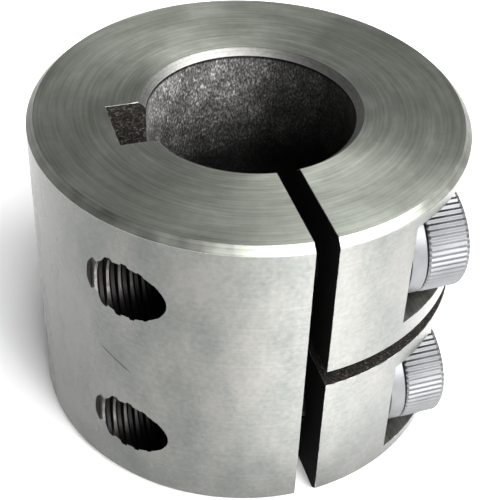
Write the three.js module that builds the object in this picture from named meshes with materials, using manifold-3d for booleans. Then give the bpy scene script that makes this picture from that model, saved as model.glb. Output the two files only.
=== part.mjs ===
// A rigid clamp coupling: a slit steel sleeve with a keyed bore, closed onto two shaft ends by two cap screws.
// Millimetres. +Z runs along the bore and z = 0 is the lower end face. The axial slit faces -Y, and the screws
// lie along X with their heads on +X.
import * as THREE from "three";
import { mergeVertices } from "three/addons/utils/BufferGeometryUtils.js";
import Module from "manifold-3d";

// Sleeve
const SLEEVE_RADIUS = 20;
const SLEEVE_LENGTH = 31;
const OUTER_CHAMFER = 0.65;
const BORE_RADIUS = 9.5;
const BORE_CHAMFER = 0.65;
const KEYWAY_WIDTH = 6;
const KEYWAY_FLOOR = 12.7; // from the bore's axis
const SLIT_WIDTH = 2;
const CROSS_SLIT_WIDTH = 1.7;
const CROSS_SLIT_END = 0; // y where the saw stopped, level with the bore's axis

// Screw positions
const SCREW_Y = -12.9;
const SCREW_SPACING = 16.5;
const SCREW_HEIGHTS = {
  lower: (SLEEVE_LENGTH - SCREW_SPACING) / 2,
  upper: (SLEEVE_LENGTH + SCREW_SPACING) / 2,
};

// Holes for one screw
const POCKET_RADIUS = 5.5;
const POCKET_FLOOR = 8.7; // x
const CLEARANCE_RADIUS = 3.2;
const TAPPED_RADIUS = 3.1; // the major radius with a working gap: the helix itself is not cut

// M6 low-head cap screw with a captive spring washer
const SHANK_RADIUS = 2.8;
const SHANK_LENGTH = 20;
const TIP_CHAMFER = 0.6;
const HEAD_RADIUS = 5;
const HEAD_HEIGHT = 4;
const HEAD_CHAMFER = 0.4;
const HEX_ACROSS_FLATS = 4;
const HEX_DEPTH = 2.3;
const WASHER_INNER_RADIUS = 3.05;
const WASHER_OUTER_RADIUS = 4.95;
const WASHER_THICKNESS = 1.6;
const WASHER_SPLIT = 0.8;
const SEAT_GAP = 0.1; // between seated faces, so that no two solids touch

const OUTER_SEGMENTS = 128;
const HOLE_SEGMENTS = 48;
const THROUGH = 60; // longer than the sleeve is in any direction

const WASHER_X = POCKET_FLOOR + SEAT_GAP;
const HEAD_X = WASHER_X + WASHER_THICKNESS + SEAT_GAP;

const wasm = await Module();
wasm.setup();

function toSolid(geometry) {
  const bare = geometry.clone();
  bare.deleteAttribute("normal");
  bare.deleteAttribute("uv");
  const merged = mergeVertices(bare, 1e-4);
  return new wasm.Manifold(
    new wasm.Mesh({
      numProp: 3,
      vertProperties: new Float32Array(merged.attributes.position.array),
      triVerts: new Uint32Array(merged.index.array),
    }),
  );
}

function toMesh(name, solid, material) {
  const { numProp, vertProperties, triVerts } = solid.getMesh();
  const positions = new Float32Array((vertProperties.length / numProp) * 3);
  for (let i = 0; i < positions.length / 3; i += 1) {
    positions.set(vertProperties.subarray(i * numProp, i * numProp + 3), i * 3);
  }
  const indexed = new THREE.BufferGeometry();
  indexed.setAttribute("position", new THREE.BufferAttribute(positions, 3));
  indexed.setIndex(new THREE.BufferAttribute(new Uint32Array(triVerts), 1));
  const geometry = indexed.toNonIndexed();
  geometry.computeVertexNormals();
  const mesh = new THREE.Mesh(geometry, material);
  mesh.name = name;
  return mesh;
}

// A closed solid of revolution about Z. Each profile point is [radius, z], and the first is repeated at the end.
function revolve(profile, segments) {
  const points = [...profile, profile[0]].map(([r, z]) => new THREE.Vector2(r, z));
  return toSolid(new THREE.LatheGeometry(points, segments).rotateX(Math.PI / 2));
}

// A box from its low and high corners.
function block(low, high) {
  const size = high.map((value, i) => value - low[i]);
  const centre = high.map((value, i) => (value + low[i]) / 2);
  return toSolid(new THREE.BoxGeometry(...size).translate(...centre));
}

// A cylinder along +X from x0 to x1, on the axis through y = 0, z = 0.
function rodAlongX(radius, x0, x1, segments = HOLE_SEGMENTS) {
  const geometry = new THREE.CylinderGeometry(radius, radius, x1 - x0, segments);
  return toSolid(geometry.rotateZ(-Math.PI / 2).translate((x0 + x1) / 2, 0, 0));
}

// A solid of revolution about X. Each profile point is [x, radius].
function turnAlongX(profile) {
  return revolve(
    profile.map(([x, r]) => [r, x]),
    HOLE_SEGMENTS,
  ).rotate([0, 90, 0]);
}

function sleeveBlank() {
  const top = SLEEVE_LENGTH;
  return revolve(
    [
      [BORE_RADIUS + BORE_CHAMFER, 0],
      [SLEEVE_RADIUS - OUTER_CHAMFER, 0],
      [SLEEVE_RADIUS, OUTER_CHAMFER],
      [SLEEVE_RADIUS, top - OUTER_CHAMFER],
      [SLEEVE_RADIUS - OUTER_CHAMFER, top],
      [BORE_RADIUS + BORE_CHAMFER, top],
      [BORE_RADIUS, top - BORE_CHAMFER],
      [BORE_RADIUS, BORE_CHAMFER],
    ],
    OUTER_SEGMENTS,
  );
}

// The head's seat: round at the back, straight-sided out to the sleeve's face, with a flat floor.
function headPocket() {
  const shape = new THREE.Shape();
  shape.absarc(0, 0, POCKET_RADIUS, 0, Math.PI, false);
  shape.lineTo(-POCKET_RADIUS, -SLEEVE_RADIUS);
  shape.lineTo(POCKET_RADIUS, -SLEEVE_RADIUS);
  shape.closePath();
  const geometry = new THREE.ExtrudeGeometry(shape, {
    depth: SLEEVE_RADIUS,
    bevelEnabled: false,
    curveSegments: HOLE_SEGMENTS / 2,
  });
  // The shape's x becomes z, its y stays y, and the extrusion runs along +X.
  return toSolid(geometry.rotateY(Math.PI / 2).translate(POCKET_FLOOR, 0, 0));
}

function screwCuts(z) {
  return headPocket()
    .add(rodAlongX(CLEARANCE_RADIUS, 0, POCKET_FLOOR + 1))
    .add(rodAlongX(TAPPED_RADIUS, -SLEEVE_RADIUS, 0.5))
    .translate([0, SCREW_Y, z]);
}

function sleeve() {
  const keyway = block(
    [-KEYWAY_FLOOR, -KEYWAY_WIDTH / 2, -1],
    [-BORE_RADIUS / 2, KEYWAY_WIDTH / 2, SLEEVE_LENGTH + 1],
  );
  const slit = block(
    [-SLIT_WIDTH / 2, -SLEEVE_RADIUS - 1, -1],
    [SLIT_WIDTH / 2, -BORE_RADIUS / 2, SLEEVE_LENGTH + 1],
  );
  const middle = SLEEVE_LENGTH / 2;
  const crossSlit = block(
    [0, -THROUGH / 2, middle - CROSS_SLIT_WIDTH / 2],
    [THROUGH / 2, CROSS_SLIT_END, middle + CROSS_SLIT_WIDTH / 2],
  );
  return [
    keyway,
    slit,
    crossSlit,
    screwCuts(SCREW_HEIGHTS.lower),
    screwCuts(SCREW_HEIGHTS.upper),
  ].reduce((body, cut) => body.subtract(cut), sleeveBlank());
}

function hexSocket() {
  const cornerRadius = HEX_ACROSS_FLATS / Math.sqrt(3);
  return rodAlongX(cornerRadius, HEAD_HEIGHT - HEX_DEPTH, HEAD_HEIGHT + 1, 6);
}

// A screw about its own axis, with x = 0 under the head.
function capScrew() {
  const body = turnAlongX([
    [-SHANK_LENGTH, 0],
    [-SHANK_LENGTH, SHANK_RADIUS - TIP_CHAMFER],
    [TIP_CHAMFER - SHANK_LENGTH, SHANK_RADIUS],
    [0, SHANK_RADIUS],
    [0, HEAD_RADIUS],
    [HEAD_HEIGHT - HEAD_CHAMFER, HEAD_RADIUS],
    [HEAD_HEIGHT, HEAD_RADIUS - HEAD_CHAMFER],
    [HEAD_HEIGHT, 0],
  ]);
  return body.subtract(hexSocket());
}

// A flattened split washer about its own axis, with x = 0 on the face towards the sleeve.
function lockWasher() {
  const ring = turnAlongX([
    [0, WASHER_INNER_RADIUS],
    [0, WASHER_OUTER_RADIUS],
    [WASHER_THICKNESS, WASHER_OUTER_RADIUS],
    [WASHER_THICKNESS, WASHER_INNER_RADIUS],
  ]);
  const split = block(
    [-1, -WASHER_SPLIT / 2, 0],
    [WASHER_THICKNESS + 1, WASHER_SPLIT / 2, POCKET_RADIUS],
  );
  return ring.subtract(split);
}

const turnedSteel = new THREE.MeshStandardMaterial({
  name: "turned_steel",
  color: 0xb4b8b2,
  roughness: 0.38,
  metalness: 0.9,
});
const zincedSteel = new THREE.MeshStandardMaterial({
  name: "zinced_steel",
  color: 0xc9ccce,
  roughness: 0.3,
  metalness: 0.95,
});

const coupling = new THREE.Group();
coupling.add(toMesh("sleeve", sleeve(), turnedSteel));
for (const [level, z] of Object.entries(SCREW_HEIGHTS)) {
  const washer = toMesh(`lock_washer_${level}`, lockWasher(), zincedSteel);
  washer.position.set(WASHER_X, SCREW_Y, z);
  const screw = toMesh(`clamp_screw_${level}`, capScrew(), zincedSteel);
  screw.position.set(HEAD_X, SCREW_Y, z);
  coupling.add(washer, screw);
}

export default coupling;
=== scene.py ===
import math

import bmesh
import bpy
from mathutils import Matrix, Vector


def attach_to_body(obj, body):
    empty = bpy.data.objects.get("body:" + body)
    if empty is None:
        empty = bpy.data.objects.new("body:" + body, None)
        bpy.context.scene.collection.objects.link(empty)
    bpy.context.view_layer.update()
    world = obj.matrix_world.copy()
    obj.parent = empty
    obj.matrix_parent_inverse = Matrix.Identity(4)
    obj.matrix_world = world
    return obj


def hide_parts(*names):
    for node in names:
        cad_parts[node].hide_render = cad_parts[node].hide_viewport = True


MM = 0.001

# Sleeve, with the CAD model's dimensions in millimetres
SLEEVE_RADIUS = 20
SLEEVE_LENGTH = 31
OUTER_CHAMFER = 0.65
BORE_RADIUS = 9.5
BORE_CHAMFER = 0.65
KEYWAY_WIDTH = 6
KEYWAY_FLOOR = 12.7
SLIT_WIDTH = 2
CROSS_SLIT_WIDTH = 1.7
CROSS_SLIT_END = 0
SCREW_Y = -12.9
SCREW_HEIGHTS = {"lower": 7.25, "upper": 23.75}
POCKET_RADIUS = 5.5
POCKET_FLOOR = 8.7
CLEARANCE_RADIUS = 3.2
EDGE_BREAK = 0.05

# How close points are welded together, in millimetres: before edges are broken, and on a finished screw
WELD = 0.06
FINE_WELD = 0.002

# M6 x 1 thread: how far along one pitch each point of the profile is, and its height from root to crest
THREAD_PITCH = 1.0
THREAD_START = 0.25
THREAD_PROFILE = ((0.0, 0.0), (0.16, 0.0), (0.42, 1.0), (0.72, 1.0), (0.96, 0.0))
TAPPED_MINOR = 2.5
TAPPED_MAJOR = 3.03
DRILL_RADIUS = 2.78
DRILL_RUN_OUT = 0.27
SHANK_MINOR = 2.4
SHANK_MAJOR = 2.92

# Cap screw and spring washer
HEAD_SEAT = 10.5
SHANK_LENGTH = 20
TIP_CHAMFER = 0.6
HEAD_RADIUS = 5
HEAD_HEIGHT = 4
HEAD_CHAMFER = 0.4
HEX_ACROSS_FLATS = 4
HEX_DEPTH = 2.3
KNURL_TEETH = 60
KNURL_DEPTH = 0.16
HEAD_EDGE_BREAK = 0.05
WASHER_SEAT = 8.8
WASHER_THICKNESS = 1.6
WASHER_INNER = 3.05
WASHER_OUTER = 4.95
WASHER_SPLIT = 0.8
WASHER_CHAMFER = 0.12
WASHER_SLANT = 0.12
WASHER_STEPS = 120

# How finely round shapes are divided. The shank's number differs, so its edges miss the thread's
LATHE_STEPS = 288
THREAD_STEPS = 96
SHANK_STEPS = 101

# Which surface a face of the sleeve belongs to: how near it lies, in millimetres, and how square
# its normal is to that surface, turned in to the bore's axis, or leaning on a chamfer
ON_FLAT = 0.01
ON_HOLE = 0.02
ON_ROUND = 0.05
SQUARE = 0.995
INWARD = -0.8
LEAN = 0.1

# The dull film on the end faces takes most of their shine at low angles
FILM_TINT = (0.15, 0.15, 0.14, 1.0)

# A fine scratch on the side: the azimuth in degrees, height and slope of its middle line, and
# how far from its middle, in millimetres, it is full and has faded out
SCRATCH_AZIMUTH = -52
SCRATCH_HEIGHT = 15.18
SCRATCH_SLOPE = -0.493
SCRATCH_HALF_WIDTH = (0.03, 0.14)
SCRATCH_HALF_LENGTH = (1.0, 1.9)
SCRATCH_LEFT_OF = (-12, -10)
SCRATCH_DARKNESS = 0.2

# The bore's painted light and shade: painted light near its ends, painted shade towards its middle and
# on its +X side, which faces away from the lamps, and a thin painted shadow under the chamfers. Each is
# a band in millimetres, and how light the steel is at the band's two ends
BORE_MIDDLE_SHADE = (2.5, 14.5, 0.09, 1.9)
BORE_SIDE_SHADE = (-1, 7, 1.0, 0.3)
BORE_CHAMFER_SHADOW = (0.1, 0.35, 0.06, 1.0)

# The tapped holes: the radii where the lighter crest turns to the root, which is painted dark as shade,
# and how light they are over a band of depth, as painted shade that darkens them deeper in
CREST_TO_ROOT = (2.5, 2.75)
HOLE_DEPTH_SHADE = (-17.5, -12.5, 1.0, 0.12)

# How bright the studio is at each height, from the horizon at 0 to straight up at 1, as a sine
WORLD_GREYS = (
    (0.0, 0.88),
    (0.18, 0.88),
    (0.22, 0.26),
    (0.43, 0.26),
    (0.47, 0.12),
    (0.73, 0.12),
    (0.77, 0.17),
    (1.0, 0.17),
)

# Lamps: the azimuth and elevation in degrees, the power in watts, and the size in metres
STRIP = (0.16, 0.3)
PANEL = (0.25, 0.25)
LAMPS = (
    (0, 15, 1.0, STRIP),
    (20, 15, 1.0, STRIP),
    (0, 40, 2.2, PANEL),
    (30, 40, 2.7, PANEL),
    (60, 50, 2.9, PANEL),
    (108, 62, 0.55, PANEL),
)
LAMP_DISTANCE = 0.5

# The floor's side in millimetres, and its own painted light in rings, with none close round the object
# as a painted shadow: the distances in metres where each starts and is full, and its strength
FLOOR_SIZE = 3000
FLOOR_RINGS = ((0.02, 0.04, 0.22), (0.06, 0.9, 0.25))

# Painted pools of light, where the floor near the object glows most: each broad patch's azimuth in
# degrees and strength, how narrow the patches are, and the distances in metres over which they rise and
# fall
FLOOR_PATCHES = ((10, 3.7), (40, 0.65), (70, 0.9), (100, 0.1), (-110, 0.05))
PATCH_FALLOFF = 8
PATCH_RISE = (0.02, 0.03)
PATCH_FALL = (0.08, 0.2)

# Camera, in metres and degrees
CAMERA_POSITION = (-0.02916, -0.08473, 0.09100)
CAMERA_AZIMUTH = -22.18
CAMERA_ELEVATION = 38.19
CAMERA_ROLL = 4.45
CAMERA_LENS = 85.8
CAMERA_SENSOR = 36
CAMERA_SHIFT = (-0.1, -0.1)


# ---------------------------------------------------------------- mesh tools


def new_object(name, bm):
    """A mesh object in metres from a bmesh in millimetres."""
    bmesh.ops.scale(bm, vec=(MM, MM, MM), verts=bm.verts)
    mesh = bpy.data.meshes.new(name)
    bm.to_mesh(mesh)
    bm.free()
    obj = bpy.data.objects.new(name, mesh)
    bpy.context.scene.collection.objects.link(obj)
    return obj


def lathe(profile, steps=LATHE_STEPS):
    """A ring turned about Z from a closed outline of (radius, z) points. Radius 0 is on the axis."""
    bm = bmesh.new()
    hubs = {i: bm.verts.new((0, 0, z)) for i, (r, z) in enumerate(profile) if r == 0}
    rings = []
    for k in range(steps):
        angle = 2 * math.pi * k / steps
        c, s = math.cos(angle), math.sin(angle)
        ring = [hubs.get(i) or bm.verts.new((r * c, r * s, z)) for i, (r, z) in enumerate(profile)]
        rings.append(ring)
    for k in range(steps):
        near, far = rings[k], rings[(k + 1) % steps]
        for i in range(len(profile)):
            j = (i + 1) % len(profile)
            corners = list(dict.fromkeys((near[i], far[i], far[j], near[j])))
            if len(corners) > 2:
                bm.faces.new(corners)
    bmesh.ops.recalc_face_normals(bm, faces=bm.faces)
    return bm


def lathe_along_x(profile, steps=LATHE_STEPS):
    bm = lathe(profile, steps)
    bmesh.ops.rotate(bm, matrix=Matrix.Rotation(math.pi / 2, 3, "Y"), verts=bm.verts)
    return bm


def prism(outline, low, high, axis):
    """A closed prism along an axis. The outline is given in the two other axes, in X, Y, Z order."""

    def corner(u, v, w):
        return {"x": (w, u, v), "y": (u, w, v), "z": (u, v, w)}[axis]

    bm = bmesh.new()
    bottom = [bm.verts.new(corner(u, v, low)) for u, v in outline]
    top = [bm.verts.new(corner(u, v, high)) for u, v in outline]
    bm.faces.new(bottom)
    bm.faces.new(top)
    for i in range(len(outline)):
        j = (i + 1) % len(outline)
        bm.faces.new((bottom[i], bottom[j], top[j], top[i]))
    bmesh.ops.recalc_face_normals(bm, faces=bm.faces)
    return bm


def rectangle(u0, u1, v0, v1):
    return [(u0, v0), (u1, v0), (u1, v1), (u0, v1)]


def arc(centre, radius, start, end, steps):
    """Points on an arc, with the angles in degrees and both ends in the list."""
    angles = [math.radians(start + (end - start) * k / steps) for k in range(steps + 1)]
    return [(centre[0] + radius * math.cos(a), centre[1] + radius * math.sin(a)) for a in angles]


def threaded_rod(start, end, minor, major):
    """A right-hand threaded rod along X that runs from just before start to just past end."""
    bm = bmesh.new()
    rows_per_turn = len(THREAD_PROFILE)
    first = math.floor(start / THREAD_PITCH) - 1
    turns = math.ceil(end / THREAD_PITCH) - first
    made = {}

    def vertex(row, step):
        if step == THREAD_STEPS:
            row, step = row + rows_per_turn, 0
        if (row, step) not in made:
            turn, point = divmod(row, rows_per_turn)
            phase, height = THREAD_PROFILE[point]
            radius = minor + (major - minor) * height
            share = step / THREAD_STEPS
            angle = 2 * math.pi * share
            x = THREAD_START + THREAD_PITCH * (first + turn + phase + share)
            made[row, step] = bm.verts.new((x, radius * math.cos(angle), radius * math.sin(angle)))
        return made[row, step]

    for row in range(turns * rows_per_turn):
        for step in range(THREAD_STEPS):
            corners = [(row, step), (row, step + 1), (row + 1, step + 1), (row + 1, step)]
            bm.faces.new([vertex(*corner) for corner in corners])
    rims = [edge for edge in bm.edges if edge.is_boundary]
    middle = (start + end) / 2
    for rim in (
        [edge for edge in rims if edge.verts[0].co.x < middle],
        [edge for edge in rims if edge.verts[0].co.x > middle],
    ):
        hub = bm.verts.new((sum(edge.verts[0].co.x for edge in rim) / len(rim), 0, 0))
        for edge in rim:
            bm.faces.new((*edge.verts, hub))
    bmesh.ops.recalc_face_normals(bm, faces=bm.faces)
    return bm


def apply_modifiers(obj):
    graph = bpy.context.evaluated_depsgraph_get()
    mesh = bpy.data.meshes.new_from_object(obj.evaluated_get(graph))
    obj.modifiers.clear()
    unused = obj.data
    obj.data = mesh
    bpy.data.meshes.remove(unused)


def boolean(obj, tool, operation="DIFFERENCE"):
    """Cut, join or intersect an object with another one, or with a bmesh in millimetres."""
    other = new_object("tool", tool) if isinstance(tool, bmesh.types.BMesh) else tool
    modifier = obj.modifiers.new("boolean", "BOOLEAN")
    modifier.operation = operation
    modifier.object = other
    modifier.solver = "EXACT"
    apply_modifiers(obj)
    bpy.data.objects.remove(other)


def weld(obj, distance):
    """Join the points that cutting leaves closer together than a distance in millimetres."""
    bm = bmesh.new()
    bm.from_mesh(obj.data)
    bmesh.ops.remove_doubles(bm, verts=bm.verts, dist=distance * MM)
    bm.to_mesh(obj.data)
    bm.free()


def break_edges(obj, width=EDGE_BREAK):
    """Weld the tiny edges that cutting leaves, and take a small bevel off every sharp edge."""
    weld(obj, WELD)
    bm = bmesh.new()
    bm.from_mesh(obj.data)
    bmesh.ops.dissolve_limit(
        bm,
        angle_limit=math.radians(0.2),
        verts=bm.verts,
        edges=bm.edges,
    )
    bm.to_mesh(obj.data)
    bm.free()
    modifier = obj.modifiers.new("edge_break", "BEVEL")
    modifier.width = width * MM
    modifier.segments = 2
    modifier.limit_method = "ANGLE"
    modifier.angle_limit = math.radians(30)
    modifier.use_clamp_overlap = False
    apply_modifiers(obj)


# ---------------------------------------------------------------- sleeve


def sleeve_blank():
    low, high = 0, SLEEVE_LENGTH
    return lathe(
        [
            (BORE_RADIUS + BORE_CHAMFER, low),
            (SLEEVE_RADIUS - OUTER_CHAMFER, low),
            (SLEEVE_RADIUS, low + OUTER_CHAMFER),
            (SLEEVE_RADIUS, high - OUTER_CHAMFER),
            (SLEEVE_RADIUS - OUTER_CHAMFER, high),
            (BORE_RADIUS + BORE_CHAMFER, high),
            (BORE_RADIUS, high - BORE_CHAMFER),
            (BORE_RADIUS, low + BORE_CHAMFER),
        ]
    )


def slot_cutters():
    """The keyway, the axial slit and the cross slit."""
    beyond = SLEEVE_RADIUS + 2
    inside = BORE_RADIUS / 2
    half_key = KEYWAY_WIDTH / 2
    half_slit = SLIT_WIDTH / 2
    middle = SLEEVE_LENGTH / 2
    half_cross = CROSS_SLIT_WIDTH / 2
    keyway = rectangle(-KEYWAY_FLOOR, -inside, -half_key, half_key)
    axial_slit = rectangle(-half_slit, half_slit, -beyond, -inside)
    cross_slit = rectangle(0, beyond, middle - half_cross, middle + half_cross)
    yield prism(keyway, -1, SLEEVE_LENGTH + 1, "z")
    yield prism(axial_slit, -1, SLEEVE_LENGTH + 1, "z")
    yield prism(cross_slit, -beyond, CROSS_SLIT_END, "y")


def screw_cutters(z):
    """The clearance hole, and the head pocket with its round back and straight mouth."""
    beyond = SLEEVE_RADIUS + 2
    hole = arc((SCREW_Y, z), CLEARANCE_RADIUS, 0, 360, 72)[:-1]
    yield prism(hole, 0, POCKET_FLOOR + 1, "x")
    back = arc((SCREW_Y, z), POCKET_RADIUS, -90, 90, 48)
    mouth = [(-beyond, z + POCKET_RADIUS), (-beyond, z - POCKET_RADIUS)]
    yield prism(back + mouth, POCKET_FLOOR, beyond, "x")


def tapping_drill(z):
    """The drilled hole under a thread. It runs out to the front, so less thread is left there."""
    hole = arc((SCREW_Y - DRILL_RUN_OUT, z), DRILL_RADIUS, 0, 360, 96)[:-1]
    return prism(hole, -SLEEVE_RADIUS - 1, 0, "x")


def make_sleeve():
    obj = new_object("sleeve_body", sleeve_blank())
    for cutter in slot_cutters():
        boolean(obj, cutter)
    for z in SCREW_HEIGHTS.values():
        for cutter in screw_cutters(z):
            boolean(obj, cutter)
    break_edges(obj)
    for z in SCREW_HEIGHTS.values():
        boolean(obj, tapping_drill(z))
        thread = threaded_rod(-SLEEVE_RADIUS, 0, TAPPED_MINOR, TAPPED_MAJOR)
        bmesh.ops.translate(thread, vec=(0, SCREW_Y, z), verts=thread.verts)
        boolean(obj, thread)
    return obj


# ---------------------------------------------------------------- screws and washers


def knurled_head():
    """The head about the X axis, with straight knurling round its rim."""
    top = HEAD_SEAT + HEAD_HEIGHT
    bm = lathe_along_x(
        [
            (0, HEAD_SEAT),
            (HEAD_RADIUS - HEAD_CHAMFER / 2, HEAD_SEAT),
            (HEAD_RADIUS, HEAD_SEAT + HEAD_CHAMFER / 2),
            (HEAD_RADIUS, top - HEAD_CHAMFER),
            (HEAD_RADIUS - HEAD_CHAMFER, top),
            (0, top),
        ],
        2 * KNURL_TEETH,
    )
    tooth = math.pi / KNURL_TEETH
    for vert in bm.verts:
        radius = math.hypot(vert.co.y, vert.co.z)
        step = round(math.atan2(vert.co.z, vert.co.y) / tooth)
        if radius > HEAD_RADIUS - KNURL_DEPTH / 2 and step % 2:
            vert.co.y *= 1 - KNURL_DEPTH / radius
            vert.co.z *= 1 - KNURL_DEPTH / radius
    return bm


def hex_socket():
    corner = HEX_ACROSS_FLATS / math.sqrt(3)
    top = HEAD_SEAT + HEAD_HEIGHT
    return prism(arc((0, 0), corner, 30, 390, 6)[:-1], top - HEX_DEPTH, top + 1, "x")


def socket_countersink():
    """A 45 degree cone that takes the sharp corners off the socket's mouth."""
    corner = HEX_ACROSS_FLATS / math.sqrt(3)
    top = HEAD_SEAT + HEAD_HEIGHT
    return lathe_along_x([(0, top - corner), (corner + 1, top + 1), (0, top + 1)], 96)


def shank_blank():
    """The outside of the shank, with its tip chamfer. It ends inside the head."""
    tip = HEAD_SEAT - SHANK_LENGTH
    outside = SHANK_MAJOR + 0.01
    return lathe_along_x(
        [
            (0, tip),
            (outside - TIP_CHAMFER, tip),
            (outside, tip + TIP_CHAMFER),
            (outside, HEAD_SEAT + 1),
            (0, HEAD_SEAT + 1),
        ],
        SHANK_STEPS,
    )


def make_screw(level):
    """A cap screw about the X axis. Its thread is in step with the tapped hole's."""
    obj = new_object(f"cap_screw_{level}", knurled_head())
    boolean(obj, hex_socket())
    boolean(obj, socket_countersink())
    break_edges(obj, HEAD_EDGE_BREAK)
    shank = threaded_rod(HEAD_SEAT - SHANK_LENGTH, HEAD_SEAT, SHANK_MINOR, SHANK_MAJOR)
    shank_object = new_object("shank", shank)
    boolean(shank_object, shank_blank(), "INTERSECT")
    boolean(obj, shank_object, "UNION")
    weld(obj, FINE_WELD)
    return obj


def make_washer(level):
    """A spring washer pressed flat about the X axis, with its two ends cut on the slant."""
    edge = WASHER_CHAMFER
    inner, outer, thick = WASHER_INNER, WASHER_OUTER, WASHER_THICKNESS
    section = [
        (inner + edge, 0),
        (outer - edge, 0),
        (outer, edge),
        (outer, thick - edge),
        (outer - edge, thick),
        (inner + edge, thick),
        (inner, thick - edge),
        (inner, edge),
    ]
    half_gap = WASHER_SPLIT / 2 / outer
    start, turn = math.pi / 2 + half_gap, 2 * math.pi - 2 * half_gap
    bm = bmesh.new()
    rings = []
    for k in range(WASHER_STEPS + 1):
        ring = []
        for radius, x in section:
            angle = start + turn * k / WASHER_STEPS + WASHER_SLANT * (x / thick - 0.5)
            place = (WASHER_SEAT + x, radius * math.cos(angle), radius * math.sin(angle))
            ring.append(bm.verts.new(place))
        rings.append(ring)
    for near, far in zip(rings, rings[1:]):
        for i in range(len(section)):
            j = (i + 1) % len(section)
            bm.faces.new((near[i], near[j], far[j], far[i]))
    bm.faces.new(rings[0])
    bm.faces.new(rings[-1])
    bmesh.ops.recalc_face_normals(bm, faces=bm.faces)
    return new_object(f"spring_washer_{level}", bm)


# ---------------------------------------------------------------- materials


class Shading:
    """A new material with a Principled shader, and short ways to add nodes to it."""

    def __init__(self, name):
        self.material = bpy.data.materials.new(name)
        self.material.use_nodes = True
        self.tree = self.material.node_tree
        self.shader = self.tree.nodes["Principled BSDF"]
        self.place = self.node("ShaderNodeTexCoord").outputs["Object"]
        axes = self.node("ShaderNodeSeparateXYZ", Vector=self.place).outputs
        self.x, self.y, self.z = axes["X"], axes["Y"], axes["Z"]

    def node(self, kind, settings=(), **inputs):
        made = self.tree.nodes.new(kind)
        for name, value in dict(settings).items():
            setattr(made, name, value)
        for name, value in inputs.items():
            self.put(made.inputs[name], value)
        return made

    def put(self, socket, value):
        if isinstance(value, bpy.types.NodeSocket):
            self.tree.links.new(value, socket)
        else:
            socket.default_value = value

    def maths(self, operation, *values):
        made = self.node("ShaderNodeMath", {"operation": operation})
        for socket, value in zip(made.inputs, values):
            self.put(socket, value)
        return made.outputs[0]

    def distance(self, u, v):
        """How far a point is from an axis, from its two coordinates across that axis."""
        squares = [self.maths("MULTIPLY", w, w) for w in (u, v)]
        return self.maths("SQRT", self.maths("ADD", *squares))

    def noise(self, scale, detail=3, stretch=(1, 1, 1)):
        """Noise through space, in features per metre. A small stretch draws it out along an axis."""
        mapped = self.node("ShaderNodeMapping", Vector=self.place, Scale=stretch).outputs[0]
        made = self.node("ShaderNodeTexNoise", Vector=mapped, Scale=scale, Detail=detail)
        return made.outputs[0]

    def lines(self, along, scale, detail=2):
        """Noise that changes along one coordinate only, as tool marks do."""
        one_way = {"noise_dimensions": "1D"}
        made = self.node("ShaderNodeTexNoise", one_way, W=along, Scale=scale, Detail=detail)
        return made.outputs[0]

    def arcs(self, u, v, level, across, along, detail=3):
        """Noise drawn out round an axis into broken marks.

        Across is how many marks there are to a metre of level, and a larger along makes them shorter.
        """
        radius = self.distance(u, v)
        turned = self.node(
            "ShaderNodeCombineXYZ",
            X=self.maths("MULTIPLY", self.maths("DIVIDE", u, radius), along),
            Y=self.maths("MULTIPLY", self.maths("DIVIDE", v, radius), along),
            Z=self.maths("MULTIPLY", level, across),
        ).outputs[0]
        made = self.node("ShaderNodeTexNoise", Vector=turned, Scale=1.0, Detail=detail)
        return made.outputs[0]

    def between(self, value, low, high, at_low, at_high):
        """A number that goes smoothly from one value to another as a coordinate crosses a band."""
        made = self.node("ShaderNodeMapRange", {"interpolation_type": "SMOOTHSTEP"}, Value=value)
        numbers = {"From Min": low, "From Max": high, "To Min": at_low, "To Max": at_high}
        for name, number in numbers.items():
            self.put(made.inputs[name], number)
        return made.outputs[0]

    def band(self, value, band):
        """The same, for a band in millimetres given as (low, high, at_low, at_high)."""
        low, high, at_low, at_high = band
        return self.between(value, low * MM, high * MM, at_low, at_high)

    def fade(self, value, full, gone):
        """1 up to one distance and 0 past another, both in millimetres."""
        return self.between(value, full * MM, gone * MM, 1.0, 0.0)

    def tint(self, colour, factor):
        """A colour made darker or lighter by a number."""
        made = self.node("ShaderNodeVectorMath", {"operation": "SCALE"}, Vector=colour, Scale=factor)
        return made.outputs[0]

    def mix(self, share, one, other):
        """A number that goes from one value to the other as share goes from 0 to 1."""
        made = self.node("ShaderNodeMix")
        self.put(made.inputs["Factor"], share)
        self.put(made.inputs["A"], one)
        self.put(made.inputs["B"], other)
        return made.outputs["Result"]

    def ramp(self, share, *stops):
        """A colour ramp over (place, colour) stops, where a colour may be one grey number."""
        made = self.node("ShaderNodeValToRGB", Fac=share)
        elements = made.color_ramp.elements
        while len(elements) < len(stops):
            elements.new(0.5)
        for element, (place, colour) in zip(elements, stops):
            element.position = place
            grey = isinstance(colour, (int, float))
            element.color = (colour, colour, colour, 1) if grey else (*colour, 1)
        return made.outputs["Color"]

    def finish(self, colour, roughness, height, depth, metallic=1.0, anisotropy=0.0):
        """Join the shader up. Depth is the bump's height in millimetres, and anisotropy runs round Z."""
        self.put(self.shader.inputs["Base Color"], colour)
        self.put(self.shader.inputs["Roughness"], roughness)
        self.put(self.shader.inputs["Metallic"], metallic)
        bump = self.node("ShaderNodeBump", Height=height, Distance=depth * MM, Strength=1.0)
        self.put(self.shader.inputs["Normal"], bump.outputs[0])
        if anisotropy:
            self.put(self.shader.inputs["Anisotropic"], anisotropy)
            self.put(self.shader.inputs["Anisotropic Rotation"], 0.25)
            tangent = self.node("ShaderNodeTangent", {"direction_type": "RADIAL", "axis": "Z"})
            self.put(self.shader.inputs["Tangent"], tangent.outputs[0])
        return self.material


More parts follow.
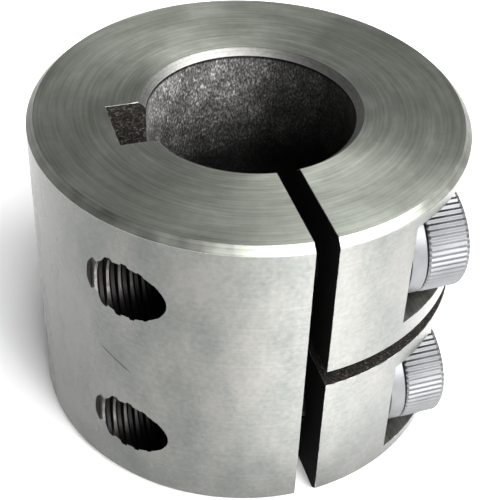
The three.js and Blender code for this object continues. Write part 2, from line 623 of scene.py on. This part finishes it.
def turned_face():
    """The end faces: the lathe's fine rings, broken streaks, and a dull greenish cloudiness."""
    s = Shading("turned_face")
    radius = s.distance(s.x, s.y)
    rings = s.lines(radius, 3500)
    streaks = s.arcs(s.x, s.y, radius, 1900, 3.2)
    patches = s.noise(160, 4)
    marks = s.mix(0.6, rings, streaks)
    tone = s.mix(0.35, marks, s.mix(0.4, patches, s.noise(1500, 3)))
    colour = s.ramp(
        tone,
        (0.34, (0.50, 0.53, 0.455)),
        (0.5, (0.67, 0.71, 0.625)),
        (0.68, (0.90, 0.94, 0.85)),
    )
    roughness = s.mix(patches, 0.28, 0.42)
    s.put(s.shader.inputs["Specular Tint"], FILM_TINT)
    return s.finish(colour, roughness, marks, 0.012, anisotropy=0.55)


def scratch(s):
    """One fine scratch on the left of the sleeve's side: 1 on it and 0 off it."""
    a = math.radians(SCRATCH_AZIMUTH)
    along = s.maths("ADD", s.maths("MULTIPLY", s.x, math.cos(a)), s.maths("MULTIPLY", s.y, math.sin(a)))
    line = s.maths("ADD", s.maths("MULTIPLY", along, SCRATCH_SLOPE), SCRATCH_HEIGHT * MM)
    off_line = s.maths("ABSOLUTE", s.maths("SUBTRACT", s.z, line))
    on_line = s.fade(off_line, *SCRATCH_HALF_WIDTH)
    within = s.fade(s.maths("ABSOLUTE", along), *SCRATCH_HALF_LENGTH)
    left = s.fade(s.x, *SCRATCH_LEFT_OF)
    return s.maths("MULTIPLY", on_line, s.maths("MULTIPLY", within, left))


def turned_side():
    """The outside of the sleeve: faint rings, smudges from handling, fine mottling and a scratch."""
    s = Shading("turned_side")
    rings = s.lines(s.z, 4000)
    smudges = s.arcs(s.x, s.y, s.z, 150, 5, 5)
    mottle = s.noise(2200, 3)
    tone = s.mix(0.3, s.mix(0.15, smudges, rings), mottle)
    colour = s.ramp(
        tone,
        (0.36, (0.092, 0.099, 0.093)),
        (0.5, (0.120, 0.122, 0.115)),
        (0.64, (0.150, 0.147, 0.139)),
    )
    mark = scratch(s)
    roughness = s.mix(smudges, 0.20, 0.34)
    height = s.maths("SUBTRACT", tone, mark)
    scratched = s.tint(colour, s.mix(mark, 1.0, SCRATCH_DARKNESS))
    return s.finish(scratched, roughness, height, 0.006, anisotropy=0.6)


def chamfer():
    """The outer chamfers, dulled by handling."""
    s = Shading("turned_chamfer")
    rings = s.lines(s.z, 9000)
    patches = s.noise(500, 4)
    tone = s.mix(0.6, rings, patches)
    colour = s.ramp(tone, (0.34, (0.163, 0.170, 0.150)), (0.66, (0.30, 0.308, 0.280)))
    return s.finish(colour, s.mix(patches, 0.34, 0.52), tone, 0.006)


def bore_chamfer():
    """The chamfers at the ends of the bore, with the scoring that shafts leave."""
    s = Shading("bore_chamfer")
    marks = s.mix(0.4, s.lines(s.z, 6000), s.noise(2600, 4))
    colour = s.ramp(marks, (0.36, (0.125, 0.125, 0.119)), (0.66, (0.21, 0.21, 0.20)))
    return s.finish(colour, s.mix(marks, 0.42, 0.6), marks, 0.006)


def broken_edge():
    """The deburred edges of the slots and pockets."""
    s = Shading("deburred_edge")
    specks = s.noise(1500, 4)
    colour = s.ramp(specks, (0.34, 0.08), (0.66, 0.26))
    return s.finish(colour, s.mix(specks, 0.38, 0.58), specks, 0.006)


def bored_wall():
    """The bore: dark steel with a fine sparkling grain, painted light near the ends, and painted shade
    in the middle, on the +X side and under the chamfers.
    """
    s = Shading("bored_wall")
    grain = s.noise(6500, 3, (1, 1, 0.5))
    patches = s.noise(420, 4)
    tone = s.mix(0.3, grain, patches)
    colour = s.ramp(
        tone,
        (0.40, (0.030, 0.029, 0.029)),
        (0.56, (0.142, 0.138, 0.134)),
        (0.68, (0.45, 0.44, 0.43)),
    )
    half = SLEEVE_LENGTH / 2 * MM
    from_middle = s.maths("ABSOLUTE", s.maths("SUBTRACT", s.z, half))
    from_chamfer = s.maths("SUBTRACT", half - BORE_CHAMFER * MM, from_middle)
    # Painted light near the bore's ends, painted shade towards its middle, a thin painted shadow under
    # the chamfers, and painted shade on the +X side, away from the lamps
    middle_shade = s.band(from_middle, BORE_MIDDLE_SHADE)
    chamfer_shadow = s.band(from_chamfer, BORE_CHAMFER_SHADOW)
    side_shade = s.band(s.x, BORE_SIDE_SHADE)
    shade = s.maths("MULTIPLY", s.maths("MULTIPLY", middle_shade, chamfer_shadow), side_shade)
    return s.finish(s.tint(colour, shade), s.mix(grain, 0.32, 0.6), grain, 0.02, metallic=0.7)


def sawn_wall():
    """The keyway and the cross slit: a fine brownish grain with a few bright grains, very dark, partly
    the sawn steel's own colour and partly painted shade inside these recesses.
    """
    s = Shading("sawn_wall")
    grain = s.noise(5200, 4)
    # Very dark: partly the sawn steel's own colour, partly painted shade in the recesses
    colour = s.ramp(
        grain,
        (0.40, (0.003, 0.0025, 0.002)),
        (0.58, (0.022, 0.018, 0.015)),
        (0.70, (0.11, 0.098, 0.085)),
    )
    return s.finish(colour, s.mix(grain, 0.5, 0.7), grain, 0.02, metallic=0.5)


def slit_wall_painted_shade():
    """The axial slit, painted near-black and without shine, as the shade inside the narrow slit."""
    s = Shading("slit_wall_painted_shade")
    grain = s.noise(3600, 5)
    # Painted shade: near-black with little shine, for the shade in the narrow slit
    colour = s.ramp(grain, (0.36, (0.001, 0.001, 0.001)), (0.72, (0.006, 0.0055, 0.005)))
    s.put(s.shader.inputs["Specular IOR Level"], 0.05)
    return s.finish(colour, s.mix(grain, 0.7, 0.9), grain, 0.02, metallic=0.0)


def milled_pocket():
    """The head pockets, with the cutter's marks down their walls and smears across them."""
    s = Shading("milled_pocket")
    marks = s.mix(0.5, s.lines(s.x, 4500), s.noise(1400, 4))
    smears = s.noise(350, 4, (1, 1, 3))
    tone = s.mix(0.4, marks, smears)
    colour = s.ramp(tone, (0.34, (0.14, 0.138, 0.124)), (0.66, (0.36, 0.36, 0.33)))
    return s.finish(colour, s.mix(marks, 0.3, 0.48), marks, 0.012)


def cut_thread():
    """The tapped and drilled holes: lighter crests, partly wear and partly painted highlight, roots
    painted dark as shade, and painted shade that makes them blacker the deeper they go.
    """
    s = Shading("cut_thread")
    halfway = SLEEVE_LENGTH / 2
    screw_from_halfway = SCREW_HEIGHTS["upper"] - halfway
    from_halfway = s.maths("ABSOLUTE", s.maths("SUBTRACT", s.z, halfway * MM))
    across = s.maths("SUBTRACT", s.y, SCREW_Y * MM)
    from_axis = s.distance(across, s.maths("SUBTRACT", from_halfway, screw_from_halfway * MM))
    grain = s.noise(2600, 4)
    # Lighter crests, partly wear and partly painted highlight, and painted shade in the roots
    crest = s.fade(from_axis, *CREST_TO_ROOT)
    tone = s.maths("MULTIPLY", crest, s.mix(0.5, grain, 1.0))
    colour = s.ramp(
        tone,
        (0.0, (0.005, 0.004, 0.004)),
        (0.55, (0.020, 0.018, 0.018)),
        (0.85, (0.16, 0.15, 0.145)),
    )
    # Painted shade that darkens the holes deeper in
    lit = s.tint(colour, s.band(s.x, HOLE_DEPTH_SHADE))
    s.put(s.shader.inputs["Specular IOR Level"], 0.2)
    return s.finish(lit, s.mix(grain, 0.30, 0.55), grain, 0.01, metallic=0.6)


def zinc_plate():
    """The screws and washers: blue-white zinc with a faint cloudiness."""
    s = Shading("zinc_plate")
    cloud = s.noise(500, 5)
    rings = s.lines(s.distance(s.y, s.z), 5000)
    tone = s.mix(0.4, cloud, rings)
    colour = s.ramp(tone, (0.3, (0.068, 0.069, 0.071)), (0.7, (0.11, 0.112, 0.115)))
    return s.finish(colour, s.mix(cloud, 0.34, 0.5), tone, 0.006)


# ---------------------------------------------------------------- which surface is which


def sleeve_surface(centre, normal):
    """The name of the surface that a face of the sleeve belongs to. Places are in millimetres."""
    radius = math.hypot(centre.x, centre.y)
    outward = (centre.x * normal.x + centre.y * normal.y) / max(radius, 1e-6)
    upright = abs(normal.z)
    end = min(centre.z, SLEEVE_LENGTH - centre.z)
    from_screw = min(math.hypot(centre.y - SCREW_Y, centre.z - z) for z in SCREW_HEIGHTS.values())
    square = max(abs(normal.x), abs(normal.y), upright) > SQUARE
    on_outer_chamfer = (
        radius > SLEEVE_RADIUS - OUTER_CHAMFER - EDGE_BREAK
        and end < OUTER_CHAMFER + EDGE_BREAK
        and outward > LEAN
    )
    on_bore_chamfer = (
        radius < BORE_RADIUS + BORE_CHAMFER + EDGE_BREAK
        and end < BORE_CHAMFER - EDGE_BREAK
        and outward < -LEAN
    )
    if centre.x < -SLIT_WIDTH / 2 and from_screw < TAPPED_MAJOR + ON_FLAT and outward < SQUARE:
        return "thread"
    if end < ON_FLAT and upright > SQUARE:
        return "end_face"
    if outward > SQUARE and radius > SLEEVE_RADIUS - ON_ROUND:
        return "side"
    if outward < INWARD and abs(radius - BORE_RADIUS) < ON_ROUND:
        return "bore"
    if on_outer_chamfer:
        return "chamfer"
    if on_bore_chamfer:
        return "bore_chamfer"
    if centre.x > SLIT_WIDTH and from_screw < CLEARANCE_RADIUS + ON_HOLE:
        return "thread"
    if centre.x > POCKET_FLOOR - ON_FLAT and from_screw < POCKET_RADIUS + ON_HOLE:
        return "pocket"
    if centre.x > POCKET_FLOOR and end > OUTER_CHAMFER and upright > SQUARE and centre.y < SCREW_Y:
        return "pocket"
    if abs(centre.x) < SLIT_WIDTH / 2 + ON_FLAT and centre.y < 0 and abs(normal.x) > SQUARE:
        return "slit"
    return "sawn" if square else "edge"


def paint_sleeve(obj):
    """Give each face of the sleeve the finish of the surface it belongs to."""
    finishes = {
        "end_face": turned_face(),
        "side": turned_side(),
        "chamfer": chamfer(),
        "bore_chamfer": bore_chamfer(),
        "bore": bored_wall(),
        "sawn": sawn_wall(),
        "slit": slit_wall_painted_shade(),
        "pocket": milled_pocket(),
        "thread": cut_thread(),
        "edge": broken_edge(),
    }
    order = list(finishes)
    for finish in finishes.values():
        obj.data.materials.append(finish)
    for face in obj.data.polygons:
        face.material_index = order.index(sleeve_surface(face.center / MM, face.normal))


def smooth(obj, degrees=8):
    """Shade smoothly, except across edges sharper than a small angle."""
    obj.data.shade_smooth()
    obj.data.set_sharp_from_angle(angle=math.radians(degrees))


# ---------------------------------------------------------------- room, light and camera


def floor_glow(s):
    """How much light the floor gives off, as painted light: a painted shadow close round the object,
    pale rings further out, and brighter patches near it as painted pools of light.
    """
    away = s.distance(s.x, s.y)
    rings = [s.between(away, start, full, 0.0, strength) for start, full, strength in FLOOR_RINGS]
    glow = s.maths("ADD", *rings)
    rise = s.between(away, *PATCH_RISE, 0.0, 1.0)
    fall = s.between(away, *PATCH_FALL, 1.0, 0.0)
    near = s.maths("MULTIPLY", rise, fall)
    # Painted pools of light on the floor
    for azimuth, strength in FLOOR_PATCHES:
        a = math.radians(azimuth)
        ahead = s.maths(
            "ADD",
            s.maths("MULTIPLY", s.x, math.sin(a)),
            s.maths("MULTIPLY", s.y, -math.cos(a)),
        )
        facing = s.maths("MAXIMUM", s.maths("DIVIDE", ahead, away), 0.0)
        patch = s.maths("MULTIPLY", s.maths("POWER", facing, PATCH_FALLOFF), strength)
        glow = s.maths("ADD", glow, s.maths("MULTIPLY", patch, near))
    return glow


def make_floor():
    bm = bmesh.new()
    bmesh.ops.create_grid(bm, x_segments=1, y_segments=1, size=FLOOR_SIZE / 2)
    obj = new_object("floor", bm)
    s = Shading("pale_floor")
    cloud = s.noise(8)
    s.put(s.shader.inputs["Base Color"], s.ramp(cloud, (0.3, 0.86), (0.7, 0.88)))
    s.put(s.shader.inputs["Roughness"], 0.8)
    s.put(s.shader.inputs["Emission Color"], (1, 1, 1, 1))
    s.put(s.shader.inputs["Emission Strength"], floor_glow(s))
    obj.data.materials.append(s.material)


def softbox(azimuth, elevation, power, size):
    """A rectangular lamp that faces the object. Azimuth 0 is in front of it, at -Y, and 90 is at +X."""
    a, e = math.radians(azimuth), math.radians(elevation)
    towards = Vector((math.sin(a) * math.cos(e), -math.cos(a) * math.cos(e), math.sin(e)))
    name = f"softbox_{azimuth}_{elevation}"
    light = bpy.data.lights.new(name, "AREA")
    light.shape = "RECTANGLE"
    light.size, light.size_y = size
    light.energy = power
    obj = bpy.data.objects.new(name, light)
    obj.location = towards * LAMP_DISTANCE
    obj.rotation_euler = towards.to_track_quat("Z", "Y").to_euler()
    bpy.context.scene.collection.objects.link(obj)


def make_world():
    """A studio with pale walls near the floor and a darker ceiling."""
    world = bpy.data.worlds.new("studio")
    world.use_nodes = True
    tree = world.node_tree
    direction = tree.nodes.new("ShaderNodeTexCoord").outputs["Generated"]
    split = tree.nodes.new("ShaderNodeSeparateXYZ")
    tree.links.new(direction, split.inputs[0])
    ramp = tree.nodes.new("ShaderNodeValToRGB")
    tree.links.new(split.outputs["Z"], ramp.inputs["Fac"])
    elements = ramp.color_ramp.elements
    while len(elements) < len(WORLD_GREYS):
        elements.new(0.5)
    for element, (height, grey) in zip(elements, WORLD_GREYS):
        element.position = height
        element.color = (grey, grey, grey, 1)
    tree.links.new(ramp.outputs["Color"], tree.nodes["Background"].inputs["Color"])
    bpy.context.scene.world = world


def make_camera():
    data = bpy.data.cameras.new("camera")
    data.lens = CAMERA_LENS
    data.sensor_width = CAMERA_SENSOR
    data.shift_x, data.shift_y = CAMERA_SHIFT
    data.clip_start = 0.001
    camera = bpy.data.objects.new("camera", data)
    camera.matrix_world = (
        Matrix.Translation(CAMERA_POSITION)
        @ Matrix.Rotation(math.radians(CAMERA_AZIMUTH), 4, "Z")
        @ Matrix.Rotation(math.radians(90 - CAMERA_ELEVATION), 4, "X")
        @ Matrix.Rotation(math.radians(CAMERA_ROLL), 4, "Z")
    )
    bpy.context.scene.collection.objects.link(camera)
    bpy.context.scene.camera = camera


def attach(obj, body, node):
    """Say which body a piece moves with, and hide the CAD node that it stands for."""
    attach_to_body(obj, body)
    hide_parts(node)


# ---------------------------------------------------------------- the scene

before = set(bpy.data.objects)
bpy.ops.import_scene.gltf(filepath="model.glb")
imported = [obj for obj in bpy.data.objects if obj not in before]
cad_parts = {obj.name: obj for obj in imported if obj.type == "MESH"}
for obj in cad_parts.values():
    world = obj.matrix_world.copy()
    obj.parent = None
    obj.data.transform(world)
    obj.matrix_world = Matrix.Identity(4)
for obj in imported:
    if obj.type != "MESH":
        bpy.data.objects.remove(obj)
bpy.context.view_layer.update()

make_camera()
make_world()
for azimuth, elevation, power, size in LAMPS:
    softbox(azimuth, elevation, power, size)
make_floor()
bpy.context.scene.view_settings.view_transform = "Standard"

sleeve = make_sleeve()
paint_sleeve(sleeve)
smooth(sleeve)
attach(sleeve, "sleeve", "sleeve")

zinc = zinc_plate()
for level, z in SCREW_HEIGHTS.items():
    screw = make_screw(level)
    washer = make_washer(level)
    for piece in (screw, washer):
        piece.location = (0, SCREW_Y * MM, z * MM)
        piece.data.materials.append(zinc)
        smooth(piece)
    attach(screw, f"{level}_screw", f"clamp_screw_{level}")
    attach(washer, f"{level}_washer", f"lock_washer_{level}")
